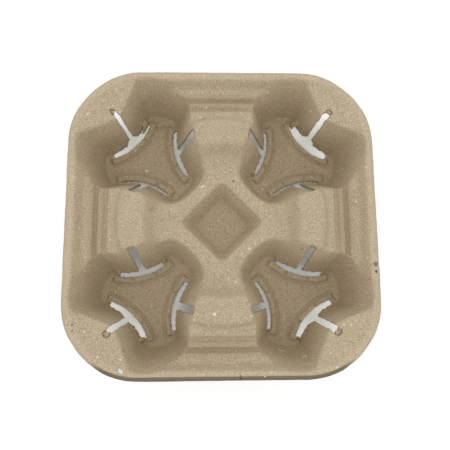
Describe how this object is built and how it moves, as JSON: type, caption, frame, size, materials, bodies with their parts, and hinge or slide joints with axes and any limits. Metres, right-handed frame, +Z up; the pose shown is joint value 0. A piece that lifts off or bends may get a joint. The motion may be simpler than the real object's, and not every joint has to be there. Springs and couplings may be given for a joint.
{
  "type": "cup carrier tray",
  "caption": "Square moulded pulp tray with rounded corners, a rolled rim and cup wells with slit noses around a raised cross and a middle recess.",
  "frame": {"origin": "below the middle of the tray, on the plane of the well floors that it rests on", "axes": "+Z up out of the wells, +X to the right and +Y to the back of the square"},
  "size_m": [0.215, 0.215, 0.046],
  "materials": {
    "pulp": "matte, speckled grey-brown recycled pulp"
  },
  "bodies": {
    "root": {"cup_carrier": "pulp"}
  },
  "joints": []
}
